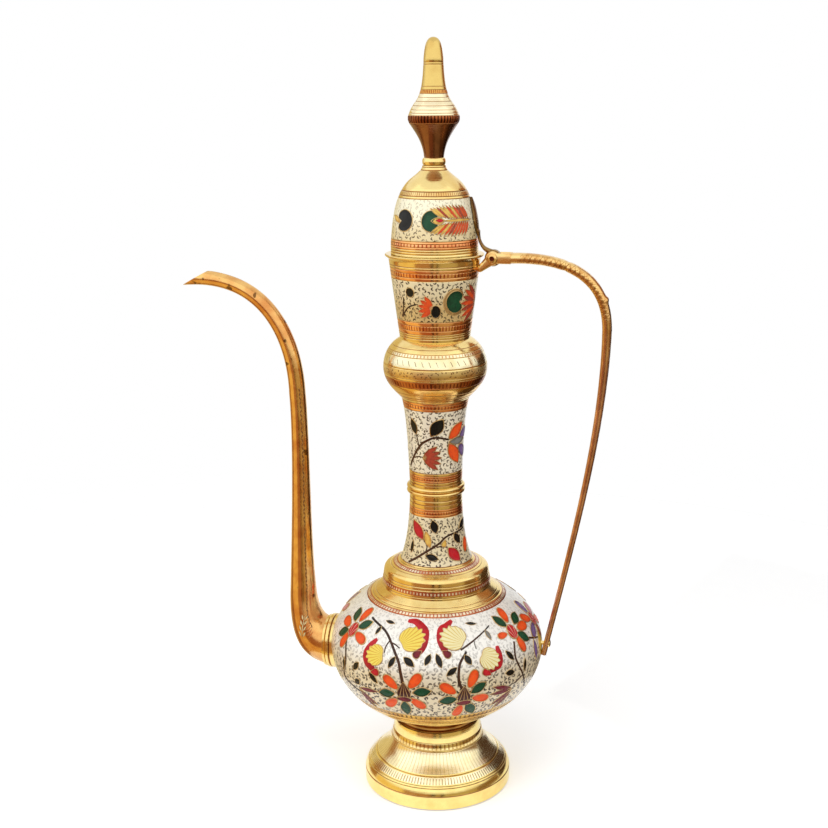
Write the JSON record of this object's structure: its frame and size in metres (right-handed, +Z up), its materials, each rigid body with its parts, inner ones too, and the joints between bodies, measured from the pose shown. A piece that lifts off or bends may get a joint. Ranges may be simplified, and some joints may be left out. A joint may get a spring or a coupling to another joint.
{
  "type": "hinged-lid ewer",
  "caption": "Long-necked brass surahi on a flared foot, with a swan-neck spout, an open handle and a hinged domed lid with a spire; enamelled floral bands.",
  "frame": {"origin": "on the vessel's axis, in the plane of the foot's lower edge", "axes": "+Z up the vessel's axis, -X towards the spout, +X towards the handle; the XZ plane is the plane of symmetry"},
  "size_m": [0.262, 0.1316, 0.4552],
  "materials": {
    "polished_brass": "turned and polished, with engraved rings",
    "cast_brass": "cast and chased, with tarnish in the hollows",
    "dark_brass": "worn, with darkened edges",
    "enamelled_brass": "chased pale ground with coloured enamel motifs and brass bands"
  },
  "bodies": {
    "vessel": {"foot_shell": "polished_brass", "foot_ring": "dark_brass", "belly_lower_bowl": "enamelled_brass", "belly_upper_bowl": "enamelled_brass", "shoulder_collar": "polished_brass", "lower_neck": "enamelled_brass", "neck_ring": "polished_brass", "upper_neck": "enamelled_brass", "neck_bulb": "polished_brass", "mouth_cup": "enamelled_brass", "mouth_rim": "polished_brass", "spout_flange": "dark_brass", "spout_bead": "polished_brass", "spout_tube": "cast_brass", "handle": "cast_brass", "handle_rivet": "cast_brass", "hinge_pin": "dark_brass"},
    "lid": {"lid_dome": "enamelled_brass", "lid_bezel": "polished_brass", "lid_strap": "dark_brass", "finial_collar": "polished_brass", "finial": "polished_brass", "finial_nut": "dark_brass"}
  },
  "joints": [
    {"name": "lid_hinge", "type": "hinge", "parent": "vessel", "child": "lid", "pos_m": [0.0348, 0, 0.332], "axis": [0, 1, 0], "range_deg": [0, 95]}
  ]
}
